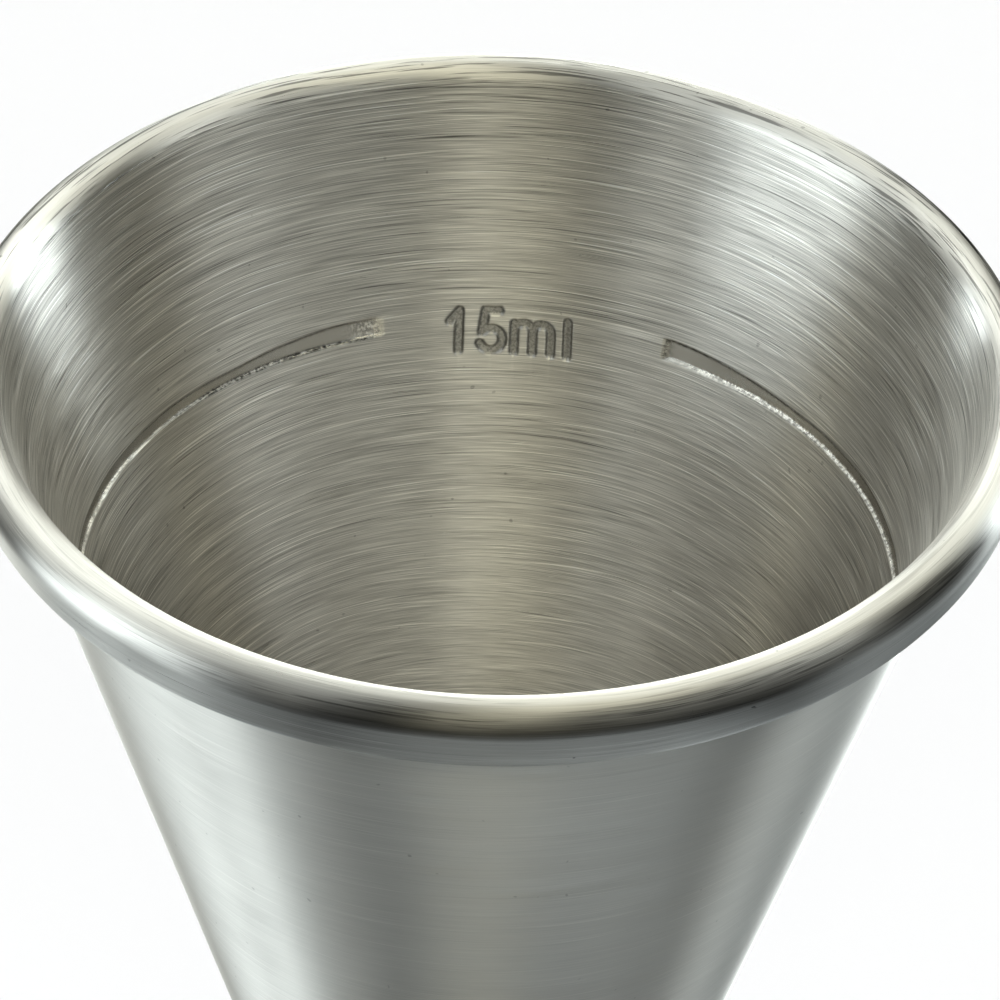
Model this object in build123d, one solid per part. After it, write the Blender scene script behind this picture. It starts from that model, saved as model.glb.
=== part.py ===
from build123d import *
import os
from math import acos, cos, degrees, radians, sin, tan

os.makedirs("parts", exist_ok=True)

# Double-ended spirit measure, millimetres. It stands on the rim of its large cup: +Z is up,
# z = 0 is the plane that rim stands on, and the axis of both cups is the Z axis.

# Sheet and cone
SHEET = 0.5  # stainless sheet
HALF_ANGLE = 16.75  # degrees from the axis, both cups
FLOOR_R = 10.0  # where the inner wall line meets the floor
CORNER_R = 2.0  # inner radius between floor and wall

# Rolled rim: an oval hollow curl that lies along the wall
CURL_W = 1.06  # half its outside width
CURL_S = 0.49  # half its straight length
CURL_GAP = 0.1  # between the sheet's cut edge and the wall
LAND_CUT = 0.03  # dressed off the top, which leaves a flat about 0.5 wide
SMALL_CURL_R = 21.80  # curl centre radius, a nominal 30 ml brimful
LARGE_CURL_R = 26.98  # curl centre radius, 60 ml brimful

# Coined graduation inside each cup
MARK_DEPTH = 0.13
BAND_W = 1.0  # along the wall
BAND_FREE = (-16.6, 25.0)  # degrees from +Y, positive towards +X, without a band
LETTER_AT = 1.7  # degrees, middle of the lettering
LETTER_DROP = 0.4  # middle of the figures below the middle of the band
STROKE = 0.46
SMALL_MARK = 10.37  # nominal 15 ml level below the curl centre
LARGE_MARK = 6.00  # 45 ml level below the curl centre

# Joint between the two floors
NUGGET_D = 3.0
NUGGET_H = 0.3
NUGGET_R = 5.0  # their pitch circle
NUGGETS = 3
WELD_FROM = 14.0  # degrees up the corner arcs that the waist weld covers
WELD_TO = 50.0
WELD_SAG = 0.2  # hollow of its free face

COS_A = cos(radians(HALF_ANGLE))
SIN_A = sin(radians(HALF_ANGLE))
TAN_A = tan(radians(HALF_ANGLE))
CORNER_CENTRE = (FLOOR_R + CORNER_R * TAN_A - CORNER_R / COS_A, SHEET + CORNER_R)

# Centre lines of the characters, from the middle of the lettering at half the figures' height
FIGURE_TOP = 0.96
BASE = -0.96
ONE = [[(-2.72, 0.50), (-2.30, FIGURE_TOP)], [(-2.30, FIGURE_TOP), (-2.30, BASE)]]
FOUR = [
    [(-2.32, FIGURE_TOP), (-2.76, -0.36)],
    [(-2.76, -0.36), (-1.92, -0.36)],
    [(-2.20, 0.30), (-2.20, BASE)],
]
FIVE = [
    [(-0.42, FIGURE_TOP), (-1.10, FIGURE_TOP)],
    [(-1.10, FIGURE_TOP), (-1.24, 0.10)],
    [(-1.325, 0.06), (-0.236, -0.427), (-1.42, -0.58)],
]
LITRE_MARK = [
    [(0.32, BASE), (0.32, 0.38)],
    [(0.32, 0.0), (0.735, 0.41), (1.15, 0.0)],
    [(1.15, BASE), (1.15, 0.0)],
    [(1.15, 0.0), (1.565, 0.41), (1.98, 0.0)],
    [(1.98, BASE), (1.98, 0.0)],
    [(2.73, BASE), (2.73, 0.66)],
]


def curl_height(curl_r):
    """Height of the curl's centre above the outer face of the floor."""
    return SHEET + (curl_r - CURL_W / COS_A - FLOOR_R) / TAN_A


def cup_height(curl_r):
    """Height of the rim's flat above the outer face of the floor."""
    return curl_height(curl_r) + CURL_S * COS_A + CURL_W - LAND_CUT


def wall_point(curl_r, across, along):
    """(r, z) of a point outwards across the wall and up along it, from the foot of the curl's centre."""
    r = curl_r + (across - CURL_W) * COS_A + along * SIN_A
    z = curl_height(curl_r) - (across - CURL_W) * SIN_A + along * COS_A
    return (r, z)


def curl_arc(curl_r, along, radius, start, end):
    """Arc of the curl, in degrees from the wall's outward normal."""
    points = []
    for angle in (start, (start + end) / 2, end):
        across = CURL_W + radius * cos(radians(angle))
        points.append(wall_point(curl_r, across, along + radius * sin(radians(angle))))
    return ThreePointArc(*points)


def corner_point(radius, angle):
    """(r, z) on a corner arc, in degrees up from the floor."""
    r = CORNER_CENTRE[0] + radius * sin(radians(angle))
    return (r, CORNER_CENTRE[1] - radius * cos(radians(angle)))


def corner_arc(radius, start, end):
    return ThreePointArc(*[corner_point(radius, a) for a in (start, (start + end) / 2, end)])


def shell(curl_r):
    """Pressed and curled cup that opens upwards from z = 0."""
    tip = -degrees(acos((SHEET + CURL_GAP - CURL_W) / CURL_W))
    with BuildSketch(Plane.XZ) as section:
        with BuildLine():
            inner = corner_arc(CORNER_R, 0, 90 - HALF_ANGLE)
            outer = corner_arc(CORNER_R + SHEET, 0, 90 - HALF_ANGLE)
            crown = curl_arc(curl_r, CURL_S, CURL_W, 180, 0)
            hem = curl_arc(curl_r, -CURL_S, CURL_W, 0, tip)
            hem_in = curl_arc(curl_r, -CURL_S, CURL_W - SHEET, tip, 0)
            crown_in = curl_arc(curl_r, CURL_S, CURL_W - SHEET, 0, 180)
            Line((0, SHEET), inner @ 0)
            Line(inner @ 1, crown @ 0)
            Line(crown @ 1, hem @ 0)
            Line(hem @ 1, hem_in @ 0)
            Line(hem_in @ 1, crown_in @ 0)
            Line(crown_in @ 1, outer @ 1)
            Line(outer @ 0, (0, 0))
            Line((0, 0), (0, SHEET))
        make_face()
    dressing = Pos(0, 0, cup_height(curl_r) + 1) * Cylinder(curl_r + 5, 2)
    return revolve(section.sketch, Axis.Z) - dressing


def skin(curl_r, low, high, sweep):
    """Ring that reaches from inside the cup to the marking depth, between two levels along the wall."""
    with BuildSketch(Plane.XZ) as section:
        with BuildLine():
            Polyline(
                wall_point(curl_r, -0.6, low),
                wall_point(curl_r, MARK_DEPTH, low),
                wall_point(curl_r, MARK_DEPTH, high),
                wall_point(curl_r, -0.6, high),
                close=True,
            )
        make_face()
    return revolve(section.sketch, Axis.Z, sweep)


def stroke_face(points):
    """Round-ended stroke along a straight line (two points) or an arc (three)."""
    if len(points) == 3:
        return SlotArc(Edge.make_three_point_arc(*points), STROKE)
    start, end = Vector(*points[0]), Vector(*points[1])
    return SlotCenterPoint((start + end) / 2, end, STROKE)


def lettering(curl_r, along, strokes):
    """Cutter for characters read from inside the cup, on its +Y side."""
    r, z = wall_point(curl_r, 0, along)
    tangent = Plane(origin=(0, r, z), x_dir=(1, 0, 0), z_dir=(0, -COS_A, SIN_A))
    faces = Sketch() + [stroke_face(points) for points in strokes]
    prism = extrude(tangent * faces, 0.7, both=True)
    return Rot(0, 0, -LETTER_AT) * (prism & skin(curl_r, along - 2, along + 2, 360))


def cup(curl_r, mark_drop, figures):
    """Cup with its graduation and the pockets of the welds, opening upwards from z = 0."""
    low = -(mark_drop + CURL_W * SIN_A) / COS_A
    middle = low + BAND_W / 2
    free = BAND_FREE[1] - BAND_FREE[0]
    band = Rot(0, 0, 90 - BAND_FREE[0]) * skin(curl_r, low, low + BAND_W, 360 - free)
    marks = lettering(curl_r, middle - LETTER_DROP, figures + FIVE + LITRE_MARK)
    return shell(curl_r) - band - marks - nuggets()


def nuggets():
    """Spot welds centred on the plane z = 0."""
    spots = PolarLocations(NUGGET_R, NUGGETS, start_angle=90)
    return Part() + spots * Cylinder(NUGGET_D / 2, NUGGET_H)


def waist_weld():
    """Ring in the groove between the two corners, about the plane z = 0."""
    with BuildSketch(Plane.XZ) as section:
        with BuildLine():
            radius = CORNER_R + SHEET
            upper = corner_arc(radius, WELD_FROM, WELD_TO)
            lower = mirror(upper, Plane.XZ)
            free_r = (upper @ 1).X - WELD_SAG
            ThreePointArc(upper @ 1, (free_r, 0), lower @ 1)
            Line(lower @ 0, upper @ 0)
        make_face()
    return revolve(section.sketch, Axis.Z)


joint = Pos(0, 0, cup_height(LARGE_CURL_R))
upside_down = Rot(0, 180, 0)
nodes = {
    "small_cup": joint * cup(SMALL_CURL_R, SMALL_MARK, ONE),
    "large_cup": joint * upside_down * cup(LARGE_CURL_R, LARGE_MARK, FOUR),
    "waist_weld": joint * waist_weld(),
    "spot_welds": joint * nuggets(),
}

for name, shape in nodes.items():
    export_step(shape, f"parts/{name}.step")
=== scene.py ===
import math
import random
from types import SimpleNamespace

import bpy
import numpy as np
from mathutils import Matrix, Vector


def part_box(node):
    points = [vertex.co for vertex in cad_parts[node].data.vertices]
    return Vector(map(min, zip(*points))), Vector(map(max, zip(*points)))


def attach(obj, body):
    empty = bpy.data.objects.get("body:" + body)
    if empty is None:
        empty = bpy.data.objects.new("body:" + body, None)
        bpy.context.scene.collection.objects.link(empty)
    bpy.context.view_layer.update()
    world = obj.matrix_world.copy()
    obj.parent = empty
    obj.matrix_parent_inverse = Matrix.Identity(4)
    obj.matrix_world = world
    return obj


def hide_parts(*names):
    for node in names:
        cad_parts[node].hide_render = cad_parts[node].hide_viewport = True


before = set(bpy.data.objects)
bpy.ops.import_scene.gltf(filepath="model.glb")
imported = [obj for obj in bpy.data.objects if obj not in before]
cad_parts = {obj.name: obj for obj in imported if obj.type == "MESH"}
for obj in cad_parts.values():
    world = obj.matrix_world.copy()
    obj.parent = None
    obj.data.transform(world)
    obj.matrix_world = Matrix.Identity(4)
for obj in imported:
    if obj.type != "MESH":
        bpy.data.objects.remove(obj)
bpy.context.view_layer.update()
MM = 0.001

# ---------------------------------------------------------------- dimensions in millimetres
# As in the CAD, apart from CURL_LOW, LETTER_DROP, FIGURE_DEPTH and lines of the characters that are
# shifted a little
SHEET = 0.5
HALF_ANGLE = math.radians(16.75)
FLOOR_R = 10.0  # where the inner wall line meets the floor
CORNER_R = 2.0  # inner radius between floor and wall
COS_A, SIN_A, TAN_A = math.cos(HALF_ANGLE), math.sin(HALF_ANGLE), math.tan(HALF_ANGLE)
CORNER_CENTRE = (FLOOR_R + CORNER_R * TAN_A - CORNER_R / COS_A, SHEET + CORNER_R)
JOINT_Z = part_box("large_cup")[1][2] / MM  # plane between the two floors

# Rolled rim: an oval hollow curl that lies along the wall
CURL_W = 1.06  # half its outside width
CURL_S = 0.49  # half its straight length
CURL_LOW = 0.90  # its outer side reaches this far down, further than its inner side
CURL_GAP = 0.1  # between the sheet's cut edge and the wall
LAND_CUT = 0.03  # dressed off the top, which leaves a flat
SMALL_CURL_R, LARGE_CURL_R = 21.80, 26.98  # curl centre radius

# Coined graduation inside each cup
MARK_DEPTH = 0.13
BAND_W = 1.0  # along the wall
BAND_FREE = (-16.6, 25.0)  # degrees from +Y, positive towards +X, without a band
LETTER_AT = 1.7  # degrees, middle of the lettering
LETTER_DROP = 0.55  # middle of the figures below the middle of the band
FIGURE_DEPTH = 0.11
STROKE = 0.46
SMALL_MARK, LARGE_MARK = 10.37, 6.00  # level below the curl centre

# Waist weld
WELD_FROM, WELD_TO = 14.0, 50.0  # degrees up the corner arcs that it covers
WELD_SAG = 0.2  # hollow of its free face
WELD_RIPPLE, WELD_SUNK = 0.012, 0.015  # ripple of the free face, and how far it is let in

# Centre lines of the characters, from the middle of the lettering at half the figures' height
TOP, BASE = 0.96, -0.96
ONE = [[(-2.60, 0.46), (-2.18, TOP)], [(-2.18, TOP), (-2.18, BASE)]]
FOUR = [[(-2.32, TOP), (-2.76, -0.36)], [(-2.76, -0.36), (-1.92, -0.36)], [(-2.20, 0.30), (-2.20, BASE)]]


def arc(cx, cy, r, start, end, n=14):
    angles = np.radians(np.linspace(start, end, n))
    return [(cx + r * math.cos(a), cy + r * math.sin(a)) for a in angles]


FIVE = [[(-0.38, TOP), (-1.00, TOP)], [(-1.00, TOP), (-1.12, 0.06)], arc(-0.73, -0.43, 0.53, 140, -158)]
LITRE = [
    [(0.32, BASE), (0.32, 0.38)],
    arc(0.735, 0.0, 0.415, 180, 0),
    [(1.15, BASE), (1.15, 0.0)],
    arc(1.565, 0.0, 0.415, 180, 0),
    [(1.98, BASE), (1.98, 0.0)],
    [(2.73, BASE), (2.73, 0.66)],
]

# Wear, and a gap in the painted shade under the curl
WANDER = 0.014  # how far the wall is out of round
SHADE_GAP_AT, SHADE_GAP_HALF = -128, 19  # degrees: along one stretch the curl's underside has no painted shade and stays bright

# Steps of the cups' meshes, along the section
WALL_STEP, MARK_STEP, UPPER_STEP, OUTER_STEP = 1.6, 0.056, 1.2, 1.8
MARK_BELOW, MARK_ABOVE = 1.3, 0.55  # the fine rows reach this far below and above the band


# ---------------------------------------------------------------- cup geometry
def curl_height(curl_r):
    return SHEET + (curl_r - CURL_W / COS_A - FLOOR_R) / TAN_A


def wall_point(curl_r, across, along):
    r = curl_r + (across - CURL_W) * COS_A + along * SIN_A
    z = curl_height(curl_r) - (across - CURL_W) * SIN_A + along * COS_A
    return r, z


def spread(a, b, step):
    """Values from a to b about step apart, without the last."""
    n = max(1, round(abs(b - a) / step))
    return list(np.linspace(a, b, n + 1)[:-1])


def profile(curl_r, mark_low):
    """Rows of the section, from the inside middle of the floor over the rim to the outside middle.
    Each row is r, z, arc length, and the level along the inner wall (or None)."""
    cr, cz = CORNER_CENTRE
    top = curl_height(curl_r) + CURL_S * COS_A + CURL_W - LAND_CUT
    tip = math.acos((SHEET + CURL_GAP - CURL_W) / CURL_W)
    turn = math.pi / 2 - HALF_ANGLE
    rows = [(r, SHEET, None) for r in (0.0, 0.8, 2.5, 5.0, 7.5, 9.0)]

    def corner(radius, angle):
        return cr + radius * math.sin(angle), cz - radius * math.cos(angle)

    def curl(radius, angle, middle):
        return wall_point(curl_r, CURL_W + radius * math.cos(angle), middle + radius * math.sin(angle))

    for a in spread(0, turn, turn / 8):
        rows.append((*corner(CORNER_R, a), None))
    foot = -((curl_height(curl_r) + CURL_W * SIN_A) - (cz - CORNER_R * SIN_A)) / COS_A
    zone_low, zone_high = mark_low - MARK_BELOW, mark_low + BAND_W + MARK_ABOVE
    levels = spread(foot, zone_low, WALL_STEP)
    levels += spread(zone_low, zone_high, MARK_STEP)
    levels += spread(zone_high, CURL_S, UPPER_STEP)
    for q in levels:
        rows.append((*wall_point(curl_r, 0, q), q))
    for a in spread(math.pi, 0, math.pi / 24):
        r, z = curl(CURL_W, a, CURL_S)
        rows.append((r, min(z, top), None))
    for a in spread(0, -tip, tip / 12) + [-tip]:
        rows.append((*curl(CURL_W, a, -CURL_LOW), None))
    inner = CURL_W - SHEET
    for a in spread(-tip, 0, tip / 6):
        rows.append((*curl(inner, a, -CURL_LOW), None))
    for a in spread(0, math.pi, math.pi / 10):
        rows.append((*curl(inner, a, CURL_S), None))
    for q in spread(CURL_S, foot, OUTER_STEP):
        rows.append((*wall_point(curl_r, SHEET, q), None))
    for a in spread(turn, 0, turn / 10):
        rows.append((*corner(CORNER_R + SHEET, a), None))
    rows += [(r, 0.0, None) for r in (cr, 7.5, 4.0, 1.0, 0.0)]
    table, s = [], 0.0
    for i, (r, z, level) in enumerate(rows):
        if i:
            s += math.hypot(r - rows[i - 1][0], z - rows[i - 1][1])
        table.append((r, z, s, level))
    return table


def smooth(x, low, high):
    t = np.clip((x - low) / (high - low), 0.0, 1.0)
    return t * t * (3 - 2 * t)


def bell(x):
    return np.exp(-x ** 2)


def waves(theta, seed, low, high):
    """Seeded wander round the axis, about unit size."""
    rng = random.Random(seed)
    total = np.zeros_like(theta)
    power = 0.0
    for k in range(low, high + 1):
        a = 1.0 / math.sqrt(k)
        total += a * np.sin(k * theta + rng.uniform(0, 2 * math.pi))
        power += a * a / 2
    return total / math.sqrt(power)


def stroke_distance(x, y, strokes):
    best = np.full_like(x, 9.0)
    for points in strokes:
        for (ax, ay), (bx, by) in zip(points[:-1], points[1:]):
            dx, dy = bx - ax, by - ay
            t = np.clip(((x - ax) * dx + (y - ay) * dy) / (dx * dx + dy * dy), 0, 1)
            best = np.minimum(best, np.hypot(x - ax - t * dx, y - ay - t * dy))
    return best


def columns():
    """Angles from +Y towards +X, fine under the lettering and at the ends of the band."""
    left, right = BAND_FREE
    stretches = [  # degrees where it starts, and step
        (-180, 1.15), (left - 4.4, 0.3), (left + 1.6, 0.8), (LETTER_AT - 11.1, 0.135),
        (LETTER_AT + 11.0, 0.85), (right - 2.1, 0.3), (right + 2.9, 1.15)]
    ends = [start for start, _ in stretches[1:]] + [180]
    out = []
    for (start, step), end in zip(stretches, ends):
        out += spread(start, end, step)
    return np.radians(np.array(out))


def turned(theta, radius, height):
    """Points round the axis, theta from +Y towards +X."""
    return np.stack([radius * np.sin(theta), radius * np.cos(theta), height + 0 * theta], -1)


def band_round(theta):
    """How the coined band changes round the axis."""
    degrees = np.degrees(theta)
    left, right = BAND_FREE
    beyond = np.maximum(np.maximum(left - degrees, degrees - right), 0)  # degrees past the band's end
    return SimpleNamespace(
        beyond=beyond,
        ends=smooth(left - degrees, -0.3, 1.6) + smooth(degrees - right, -0.2, 1.4),
        width=BAND_W * (1 - 0.38 * smooth(beyond, 1.0, 24.0)),
        right=smooth(degrees, -2.0, 2.0),  # 1 on the right half, 0 on the left
        # the lower shoulder is torn, with a painted highlight, where positive, and carries painted shade
        # where negative
        tear_and_painted_light=np.where(degrees > 0, smooth(beyond, 0.5, 9.0), -1.25 + 1.7 * smooth(beyond, 30.0, 50.0)),
        ragged_low=0.022 * waves(theta, 5, 9, 60) + 0.014 * waves(theta, 6, 60, 160),
        ragged_high=0.02 * waves(theta, 8, 5, 40))


def press(theta, r, up, band, figures):
    """Depth, mark and edge value of one row of the inner wall, at up above the band's lower edge. Mark is 1
    in the band and -1 in the figures. The edge value is above 0 for tears in the metal and painted
    highlights, and below 0 for painted shade."""
    slope = 0.035 + 0.05 * band.right
    upper = band.width + band.ragged_high
    inside = smooth(up, band.ragged_low - slope, band.ragged_low + slope)
    inside = inside * (1 - smooth(up, upper - 0.17, upper + 0.03))
    floor = 1.0 - 0.25 * np.clip(up / band.width, 0, 1)  # deepest along its lower edge
    low_shoulder = bell((up - 0.01) / (0.075 + 0.03 * band.right))
    high_shoulder = bell((up - band.width + 0.10) / 0.075)
    end_wall = bell(band.beyond / 1.3) * smooth(band.beyond, 0.0, 0.4)
    # Lower shoulder: tears with a painted highlight on the right, painted shade on the left
    burr_and_painted_light = band.tear_and_painted_light * band.ends * low_shoulder
    # Painted shade along the upper shoulder
    burr_and_painted_light = burr_and_painted_light - (0.45 + 0.55 * band.right) * band.ends * high_shoulder
    # Painted shade in the band's right end
    burr_and_painted_light = burr_and_painted_light - band.right * inside * end_wall
    # Painted highlight at the band's left end
    burr_and_painted_light = burr_and_painted_light + 0.8 * (1 - band.right) * inside * band.ends * (1 - smooth(band.beyond, 2.0, 6.5))
    x = (theta - math.radians(LETTER_AT)) * r
    y = np.full(len(theta), up - BAND_W / 2 + LETTER_DROP)
    gap = stroke_distance(x, y, figures + FIVE + LITRE)
    pressed = 1 - smooth(gap, STROKE / 2 - 0.10, STROKE / 2 + 0.03)
    depth = np.maximum(MARK_DEPTH * band.ends * inside * floor, FIGURE_DEPTH * pressed)
    mark = np.where(pressed > 0.01, -pressed, band.ends * inside)
    return depth, mark, burr_and_painted_light


def lathe_faces(count, n):
    """Faces of count rows of n points, the first and the last row shrunk to one point each. Also says
    which points are kept."""
    index = np.arange(count * n).reshape(count, n)
    after = np.roll(np.arange(n), -1)
    faces = []
    for near, far in zip(index[1:-2], index[2:-1]):
        faces += np.stack([far, far[after], near[after], near], -1).tolist()
    first, last = index[1], index[-2]
    faces += [[index[0, 0], first[j], first[k]] for j, k in enumerate(after)]
    faces += [[last[k], last[j], index[-1, 0]] for j, k in enumerate(after)]
    keep = np.ones(count * n, bool)
    keep[index[0, 1:]] = False
    keep[index[-1, 1:]] = False
    number = np.cumsum(keep) - 1
    return keep, [[int(number[v]) for v in face] for face in faces]


def add_mesh(name, verts, faces, layers, sharp):
    """A mesh object in metres with a layer of values per vertex for each name. Edges over sharp degrees
    aren't smoothed."""
    mesh = bpy.data.meshes.new(name)
    mesh.from_pydata(verts.tolist(), [], faces)
    for label, values in layers.items():
        layer = mesh.attributes.new(label, "FLOAT", "POINT")
        layer.data.foreach_set("value", values.astype(np.float32))
    mesh.update()
    mesh.set_sharp_from_angle(angle=math.radians(sharp))
    obj = bpy.data.objects.new(name, mesh)
    bpy.context.scene.collection.objects.link(obj)
    return obj


def cup_mesh(name, curl_r, mark_drop, figures, place):
    """Lathe-turned sheet cup with its coined band and figures pressed in."""
    low = -(mark_drop + CURL_W * SIN_A) / COS_A
    table = profile(curl_r, low)
    theta = columns()
    n = len(theta)
    plain = (np.zeros(n), np.zeros(n), np.zeros(n))
    band = band_round(theta)
    top = curl_height(curl_r) + CURL_S * COS_A + CURL_W
    crown = max(s for _, _, s, q in table if q is not None) + CURL_W * math.pi / 2
    wander = WANDER * waves(theta, 3, 2, 9)
    worn = 0.3 + 0.7 * smooth(np.cos(theta), -0.3, 0.5)  # the rim is scuffed more on the +Y side
    # Painted shade under the curl: full strength all round the axis, apart from one stretch
    curl_shade_round = 1 - 0.9 * np.exp(-((np.degrees(theta) - SHADE_GAP_AT) / SHADE_GAP_HALF) ** 4)
    rows, marks, burrs_and_painted_light, lengths, rims, outs, curl_shades = [], [], [], [], [], [], []
    for r, z, s, q in table:
        depth, mark, burr_and_painted_light = plain if q is None else press(theta, r, q - low, band, figures)
        radius = r + depth * COS_A + wander * smooth(r, 9.0, 15.0)
        rows.append(turned(theta, radius, z - depth * SIN_A))
        marks.append(mark)
        burrs_and_painted_light.append(burr_and_painted_light)
        lengths.append(np.full(n, s))
        rims.append(worn * smooth(z, top - 1.1, top - 0.3))
        past_crown, outer_wall = float(s > crown), smooth(s, crown + 9.5, crown + 13.0)
        outs.append(np.full(n, 0.5 * past_crown + 0.5 * outer_wall))
        # Painted shade from the curl's widest point down its outside and on to the wall just under it
        underside = smooth(s, crown + 0.9, crown + 1.9) - smooth(s, crown + 8.0, crown + 9.5)
        curl_shades.append(curl_shade_round * underside)
    keep, faces = lathe_faces(len(rows), n)
    verts = np.array(rows).reshape(-1, 3)[keep]
    world = (np.array(place) @ np.c_[verts, np.ones(len(verts))].T).T[:, :3] * MM
    values = {"mark": marks, "burr_and_painted_light": burrs_and_painted_light, "along": lengths, "rim": rims, "outside": outs, "curl_shade": curl_shades}
    layers = {label: np.concatenate(value)[keep] for label, value in values.items()}
    return add_mesh(name, world, faces, layers, sharp=50)


def weld_ring(name):
    """Dressed weld in the groove at the waist, its free face slightly rippled."""
    cr, cz = CORNER_CENTRE
    outer = CORNER_R + SHEET
    angles = [math.radians(a) for a in np.linspace(WELD_FROM, WELD_TO, 9)]
    upper = [(cr + outer * math.sin(a), cz - outer * math.cos(a)) for a in angles]
    end_r, end_z = upper[-1]
    face = [(end_r - WELD_SAG * (1 - (z / end_z) ** 2), z) for z in np.linspace(end_z, -end_z, 15)[1:-1]]
    section = upper + face + [(r, -z) for r, z in reversed(upper)]
    theta = np.radians(np.arange(0, 360, 1.5))
    ripple = WELD_RIPPLE * waves(theta, 21, 8, 40) - WELD_SUNK
    rows, lengths, s = [], [], 0.0
    for k, (r, z) in enumerate(section):
        if k:
            s += math.hypot(r - section[k - 1][0], z - section[k - 1][1])
        free = max(0.0, 1 - abs(z / end_z) ** 4) if len(upper) <= k < len(upper) + len(face) else 0.0
        rows.append(turned(theta, r + ripple * free, z + JOINT_Z))
        lengths.append(np.full(len(theta), s))
    verts = np.array(rows).reshape(-1, 3) * MM
    n, m = len(theta), len(section)
    quads = [[i * n + j, i * n + (j + 1) % n, (i + 1) % m * n + (j + 1) % n, (i + 1) % m * n + j]
             for i in range(m) for j in range(n)]
    return add_mesh(name, verts, quads, {"along": np.concatenate(lengths)}, sharp=40)


# ---------------------------------------------------------------- materials
class Nodes:
    """Short calls for the nodes of one tree."""

    def __init__(self, tree):
        self.tree = tree
        tree.nodes.clear()

    def add(self, kind, inputs=None, **settings):
        node = self.tree.nodes.new(kind)
        for key, value in settings.items():
            setattr(node, key, value)
        for key, value in (inputs or {}).items():
            socket = node.inputs[key]
            if isinstance(value, bpy.types.NodeSocket):
                self.tree.links.new(value, socket)
            else:
                socket.default_value = value
        return node

    def math(self, op, a, b=0.0, clamp=False):
        node = self.add("ShaderNodeMath", {0: a, 1: b}, operation=op)
        node.use_clamp = clamp
        return node.outputs[0]

    def plus(self, a, b):
        return self.math("ADD", a, b)

    def minus(self, a, b):
        return self.math("SUBTRACT", a, b)

    def times(self, a, b):
        return self.math("MULTIPLY", a, b)

    def scaled(self, vector, factor):
        return self.add("ShaderNodeVectorMath", {0: vector, "Scale": factor}, operation="SCALE").outputs[0]

    def dot(self, a, b):
        return self.add("ShaderNodeVectorMath", {0: a, 1: b}, operation="DOT_PRODUCT").outputs["Value"]

    def value(self, name):
        return self.add("ShaderNodeAttribute", attribute_name=name).outputs["Fac"]

    def ramp(self, value, low, high, to_low=0.0, to_high=1.0):
        node = self.add("ShaderNodeMapRange", {0: value, 1: low, 2: high, 3: to_low, 4: to_high})
        return node.outputs[0]

    def swing(self, noise, size):
        """Turns noise into values from -size to size."""
        return self.ramp(noise, 0.3, 0.7, -size, size)

    def noise(self, vector, scale, detail=2.0, roughness=0.5):
        settings = {"Vector": vector, "Scale": scale, "Detail": detail, "Roughness": roughness}
        return self.add("ShaderNodeTexNoise", settings).outputs[0]


STEEL = (0.60, 0.58, 0.545)
STEEL_BUMP = 0.0000045  # metres


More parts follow.
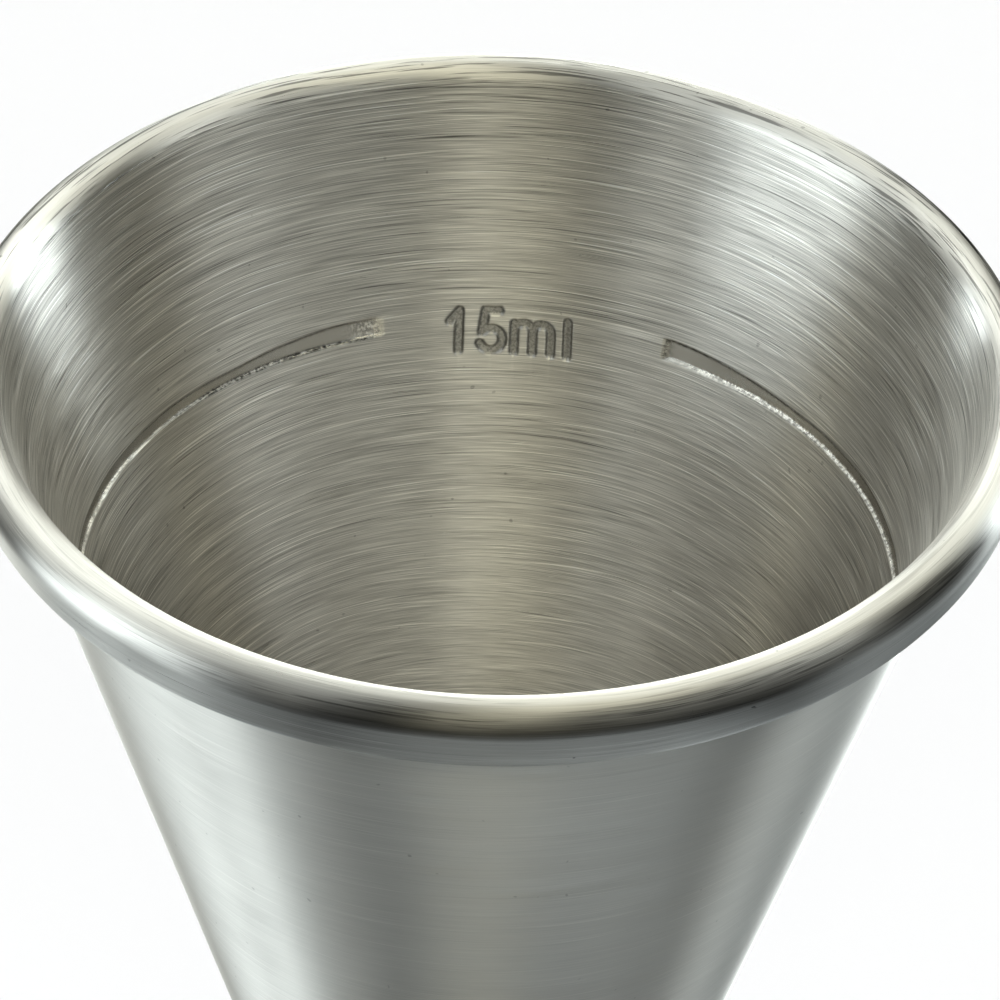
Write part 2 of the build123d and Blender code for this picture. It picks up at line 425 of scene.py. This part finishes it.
def brushed_steel(name):
    """Stainless steel brushed round the Z axis, with cloudy tone, fine and coarse lines, pits, a smoother
    coined band whose edges have tears, a painted highlight and painted shade, darker figures, a scuffed rim,
    and painted shade under the curl."""
    mat = bpy.data.materials.new(name)
    mat.use_nodes = True
    g = Nodes(mat.node_tree)
    out = g.add("ShaderNodeOutputMaterial")
    place = g.add("ShaderNodeTexCoord").outputs["Object"]
    flat = g.add("ShaderNodeVectorMath", {0: place, 1: (1, 1, 0)}, operation="MULTIPLY").outputs[0]
    unit = g.add("ShaderNodeVectorMath", {0: flat}, operation="NORMALIZE").outputs[0]
    along, mark, burr_and_painted_light = g.value("along"), g.value("mark"), g.value("burr_and_painted_light")
    rim, outside, curl_shade = g.value("rim"), g.value("outside"), g.value("curl_shade")

    def ring(turns, lines, shift, drift=None):
        """Coordinates that run slowly round the axis and fast along the wall."""
        level = along if drift is None else g.plus(along, drift)
        level = g.plus(g.times(level, lines), shift)
        parts = g.add("ShaderNodeSeparateXYZ", {0: g.scaled(unit, turns)})
        return g.add("ShaderNodeCombineXYZ", {0: parts.outputs[0], 1: parts.outputs[1], 2: level}).outputs[0]

    # Lines that wander up and down the wall as they go round
    drift = g.ramp(g.noise(ring(0.8, 0.07, 3.0), 1.0, 1.0), 0.2, 0.8, -0.2, 0.2)
    sway = g.ramp(g.noise(ring(0.9, 0.05, 9.0), 1.0, 1.0), 0.2, 0.8, -0.6, 0.6)
    fine = g.noise(ring(6.0, 26.0, 0.0, drift), 1.0, 2.0, 0.6)
    cross = g.noise(ring(4.4, 12.0, 40.0, sway), 1.0, 2.0, 0.6)
    coarse = g.noise(ring(1.5, 2.2, 80.0, drift), 1.0, 3.0, 0.6)
    bright_line = g.ramp(g.noise(ring(2.0, 17.0, 120.0, sway), 1.0, 0.0), 0.67, 0.73)
    dark_line = g.ramp(g.noise(ring(2.4, 16.0, 160.0, drift), 1.0, 0.0), 0.66, 0.76)
    scuff = g.times(rim, g.ramp(g.noise(ring(4.0, 7.0, 210.0, sway), 1.0, 2.0, 0.6), 0.54, 0.62))

    # Cloud, grain, grit and pits, without a direction
    cloud = g.noise(place, 170.0, 2.0)
    grain = g.noise(place, 9000.0, 2.0)
    grit = g.noise(place, 6500.0, 1.0)
    pit = g.ramp(g.noise(place, 2600.0, 0.0), 0.155, 0.12)

    # Where the steel is bare, pressed into figures, coined into the band, torn with a painted highlight, or
    # in painted shade
    plain = g.math("SUBTRACT", 1.0, g.math("ABSOLUTE", mark), True)
    pressed = g.math("MAXIMUM", g.times(mark, -1.0), 0.0)
    coined = g.math("MAXIMUM", mark, 0.0)
    tear_and_painted_light = g.math("MAXIMUM", burr_and_painted_light, 0.0)
    dark = g.math("MAXIMUM", g.times(burr_and_painted_light, -1.0), 0.0)
    sharp = g.ramp(outside, 0.0, 0.5, 1.0, 0.15)  # lines are weak past the crown

    # Tone: how much lighter or darker than STEEL, as a share
    tone = g.plus(g.swing(fine, 0.33), g.swing(cross, 0.13))
    tone = g.plus(tone, g.swing(coarse, 0.07))
    tone = g.plus(tone, g.times(bright_line, 0.55))
    tone = g.minus(tone, g.times(dark_line, 0.35))
    strength = g.times(sharp, g.ramp(along, 16.0, 42.0, 0.65, 1.15))  # lines grow towards the rim
    tone = g.times(g.times(tone, plain), strength)
    tone = g.plus(tone, g.swing(cloud, 0.03))
    # Darker in the pressed figures, by a grainy share
    figure_darkening = g.times(pressed, g.ramp(grain, 0.35, 0.65, 0.30, 0.62))
    tone = g.minus(tone, g.plus(figure_darkening, g.times(coined, 0.12)))
    # Painted shade under the curl
    tone = g.minus(tone, g.times(curl_shade, 0.62))
    tone = g.minus(tone, g.times(pit, 0.3))
    # Tears and painted highlights, speckled with grit
    tone = g.plus(tone, g.times(tear_and_painted_light, g.ramp(grit, 0.38, 0.62, -0.25, 0.75)))
    # Painted shade along the band's edges, speckled with grit
    tone = g.minus(tone, g.times(dark, g.times(g.ramp(grit, 0.35, 0.65, 0.25, 1.0), 0.75)))
    tone = g.minus(tone, g.times(scuff, 0.62))
    colour = g.scaled(STEEL, g.plus(tone, 1.0))

    # Gloss: smoother in the band, rougher on the outer wall
    rough = g.plus(g.ramp(coarse, 0.3, 0.7, 0.30, 0.35), g.swing(fine, 0.04))
    rough = g.minus(rough, g.times(coined, 0.10))
    rough = g.plus(rough, g.ramp(outside, 0.5, 1.0, 0.0, 0.12))

    # Relief, in steps of STEEL_BUMP
    lines = g.plus(g.times(fine, 1.5), g.times(cross, 1.2))
    lines = g.plus(lines, g.times(coarse, 1.5))
    lines = g.minus(lines, g.times(dark_line, 1.2))
    lines = g.times(lines, g.times(sharp, g.plus(g.times(plain, 0.9), 0.1)))
    lines = g.minus(lines, g.times(scuff, 2.0))
    ragged = g.times(grain, g.times(g.math("ABSOLUTE", burr_and_painted_light), 7.0))
    dimple = g.times(grain, g.plus(g.times(pressed, 3.0), g.times(coined, 0.5)))
    relief = g.plus(g.plus(lines, ragged), dimple)
    bump = g.add("ShaderNodeBump", {"Strength": 1.0, "Distance": STEEL_BUMP, "Height": relief})
    bsdf = g.add("ShaderNodeBsdfPrincipled", {
        "Base Color": colour, "Metallic": 1.0, "Roughness": rough,
        "Anisotropic": 1.0, "Anisotropic Rotation": 0.25, "Normal": bump.outputs[0]})
    tangent = g.add("ShaderNodeTangent", direction_type="RADIAL", axis="Z")
    g.tree.links.new(tangent.outputs[0], bsdf.inputs["Tangent"])
    g.tree.links.new(bsdf.outputs[0], out.inputs[0])
    return mat


def weld_steel(name):
    """Satin weld metal for the sealed spot welds, with a cloudy tint and fine grain."""
    mat = bpy.data.materials.new(name)
    mat.use_nodes = True
    g = Nodes(mat.node_tree)
    out = g.add("ShaderNodeOutputMaterial")
    place = g.add("ShaderNodeTexCoord").outputs["Object"]
    cloud = g.ramp(g.noise(place, 700.0, 3.0), 0.35, 0.65)
    warm, pale = (0.50, 0.47, 0.42, 1), (0.58, 0.57, 0.55, 1)
    tint = g.add("ShaderNodeMix", {0: cloud, 6: warm, 7: pale}, data_type="RGBA")
    rough = g.ramp(g.noise(place, 2500.0), 0.3, 0.7, 0.35, 0.55)
    bump = g.add("ShaderNodeBump", {"Distance": 0.00001, "Height": g.noise(place, 9000.0, 3.0)})
    bsdf = g.add("ShaderNodeBsdfPrincipled", {
        "Base Color": tint.outputs[2], "Metallic": 1.0, "Roughness": rough, "Normal": bump.outputs[0]})
    g.tree.links.new(bsdf.outputs[0], out.inputs[0])
    return mat


# ---------------------------------------------------------------- pieces
steel = brushed_steel("steel_brushed_round")
up = Matrix.Translation((0, 0, JOINT_Z))
small = cup_mesh("small_cup_shell", SMALL_CURL_R, SMALL_MARK, ONE, up)
large = cup_mesh("large_cup_shell", LARGE_CURL_R, LARGE_MARK, FOUR, up @ Matrix.Rotation(math.pi, 4, "Y"))
weld = weld_ring("waist_weld_ring")
for obj, node, slot in (
        (small, "small_cup", "brushed_steel"),
        (large, "large_cup", "brushed_steel"),
        (weld, "waist_weld", "weld_steel")):
    obj.data.materials.append(steel)
    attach(obj, "root")
    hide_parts(node)
sealed = weld_steel("steel_weld_nuggets")
for slot in bpy.data.objects["spot_welds"].material_slots:
    slot.material = sealed

# ---------------------------------------------------------------- camera
RIM_RISE = 0.08  # millimetres, the middle of the rim above the curl's centre
CAM_DISTANCE, CAM_ELEVATION, CAM_ROLL = 0.3066, math.radians(38.25), math.radians(1.78)
AIM_RIGHT, AIM_UP = 0.26 * MM, -4.71 * MM  # where the line of sight passes the middle of the rim
LENS, SENSOR = 260.65, 36  # millimetres

rim = Vector((0, 0, (JOINT_Z + curl_height(SMALL_CURL_R) + RIM_RISE) * MM))
back = Vector((0, -math.cos(CAM_ELEVATION), math.sin(CAM_ELEVATION)))
level = Vector((1, 0, 0))
raised = back.cross(level)
across = math.cos(CAM_ROLL) * level + math.sin(CAM_ROLL) * raised
upward = -math.sin(CAM_ROLL) * level + math.cos(CAM_ROLL) * raised
eye = rim + back * CAM_DISTANCE
look = (rim + across * AIM_RIGHT + upward * AIM_UP - eye).normalized()
side = look.cross(upward).normalized()
crown = side.cross(look)
cam_data = bpy.data.cameras.new("camera")
cam_data.lens = LENS
cam_data.sensor_width = SENSOR
cam_data.clip_start = 0.01
cam = bpy.data.objects.new("camera", cam_data)
cam.matrix_world = Matrix((
    (side.x, crown.x, -look.x, eye.x), (side.y, crown.y, -look.y, eye.y),
    (side.z, crown.z, -look.z, eye.z), (0, 0, 0, 1)))
bpy.context.scene.collection.objects.link(cam)
bpy.context.scene.camera = cam

# ---------------------------------------------------------------- soft studio light and a pale floor
# Soft-edged panels far off, the strongest of a lighting fit merged, rounded and then adjusted.
# Azimuth 0 is behind the camera and positive to the right. Each has the azimuth and elevation of its
# middle, its half width and half height in degrees, a brightness and a colour.
COOL, WHITE, CREAM, WARM = (0.90, 1.0, 1.03), (0.95, 1.0, 0.96), (0.98, 1.0, 0.88), (1.02, 1.0, 0.78)
PANELS = {
    "strip behind on the left, for the right rim": (-125, -2, 5, 8, 28.0, COOL),
    "tall strip behind on the right": (119, -10, 6, 40, 4.5, COOL),
    "lamp in the tall strip, for the left wall": (119, 4, 7, 10, 13.0, COOL),
    "window on the left": (-67, 14, 17, 10, 5.4, COOL),
    "lower part of the window": (-84, -8, 13, 16, 4.0, COOL),
    "window's foot": (-65, -42, 6, 32, 3.2, COOL),
    "pale card behind": (180, -4, 10, 24, 9.0, WHITE),
    "narrow strip high behind": (-165, 35, 5, 16, 7.0, WHITE),
    "small warm softbox above the camera": (0, 43, 15, 9, 3.3, WARM),
    "strip high on the right": (85, 50, 6, 17, 4.0, WHITE),
    "overhead softbox": (60, 80, 60, 12, 2.8, WARM),
    "ceiling behind on the right": (150, 56, 30, 36, 1.7, CREAM),
    "ceiling on the left": (-105, 56, 60, 34, 1.2, WHITE),
    "glow in front of the window": (-40, 37, 5, 32, 1.0, WHITE),
    "dim wall in front": (50, 35, 30, 16, 0.8, WHITE),
    "table behind on the left": (-140, -38, 20, 11, 2.3, WHITE),
    "table on the right": (90, -38, 15, 11, 1.6, COOL),
    "table below, far half": (180, -66, 60, 12, 1.5, COOL),
    "table below, near half": (30, -75, 90, 12, 2.9, COOL),
}
WIDEN = 1.08  # leaves a panel about half as bright at its half width
BACKDROP = (0.985, 0.985, 0.985, 1)
FLOOR_HALF = 3  # metres
FLOOR_DROP = 0.00002  # metres, so that it doesn't lie in the rim's own plane
FLOOR_COLOUR = (0.89, 0.86, 0.93, 1)


def studio(panels):
    """A sky of soft-edged panels, which the camera itself sees as a plain backdrop."""
    world = bpy.data.worlds.new("studio")
    bpy.context.scene.world = world
    world.use_nodes = True
    g = Nodes(world.node_tree)
    out = g.add("ShaderNodeOutputWorld")
    ray = g.add("ShaderNodeTexCoord").outputs["Generated"]
    height = g.math("ARCSINE", g.add("ShaderNodeSeparateXYZ", {0: ray}).outputs[2])
    glows = []
    for azimuth, elevation, wide, high, brightness, colour in panels.values():
        a = math.radians(azimuth)
        ahead = g.dot(ray, (math.sin(a), -math.cos(a), 0))
        aside = g.dot(ray, (math.cos(a), math.sin(a), 0))
        u = g.times(g.math("ARCTAN2", aside, ahead), 1 / math.radians(wide * WIDEN))
        v = g.times(g.minus(height, math.radians(elevation)), 1 / math.radians(high))
        u, v = g.times(u, u), g.times(v, v)
        fall = g.math("EXPONENT", g.times(g.plus(g.times(u, u), g.times(v, v)), -1.0))
        glows.append(g.scaled(brightness * Vector(colour), fall))
    total = glows[0]
    for glow in glows[1:]:
        total = g.add("ShaderNodeVectorMath", {0: total, 1: glow}, operation="ADD").outputs[0]
    seen = g.add("ShaderNodeLightPath").outputs["Is Camera Ray"]
    shown = g.add("ShaderNodeMix", {0: seen, 6: total, 7: BACKDROP}, data_type="RGBA").outputs[2]
    sky = g.add("ShaderNodeBackground", {0: shown, 1: 1.0})
    g.tree.links.new(sky.outputs[0], out.inputs[0])


def pale_floor():
    """The floor takes the shadows, but the steel doesn't mirror it and it hides no panel."""
    mesh = bpy.data.meshes.new("floor")
    h = FLOOR_HALF
    mesh.from_pydata([(-h, -h, 0), (h, -h, 0), (h, h, 0), (-h, h, 0)], [], [(0, 1, 2, 3)])
    floor = bpy.data.objects.new("floor", mesh)
    bpy.context.scene.collection.objects.link(floor)
    floor.location.z = -FLOOR_DROP
    floor.visible_shadow = False
    floor.visible_glossy = False
    paint = bpy.data.materials.new("pale_floor")
    paint.use_nodes = True
    g = Nodes(paint.node_tree)
    lit = g.add("ShaderNodeBsdfDiffuse", {0: FLOOR_COLOUR})
    g.add("ShaderNodeOutputMaterial", {0: lit.outputs[0]})
    mesh.materials.append(paint)
    return floor


studio(PANELS)
pale_floor()
bpy.context.scene.view_settings.view_transform = "Standard"
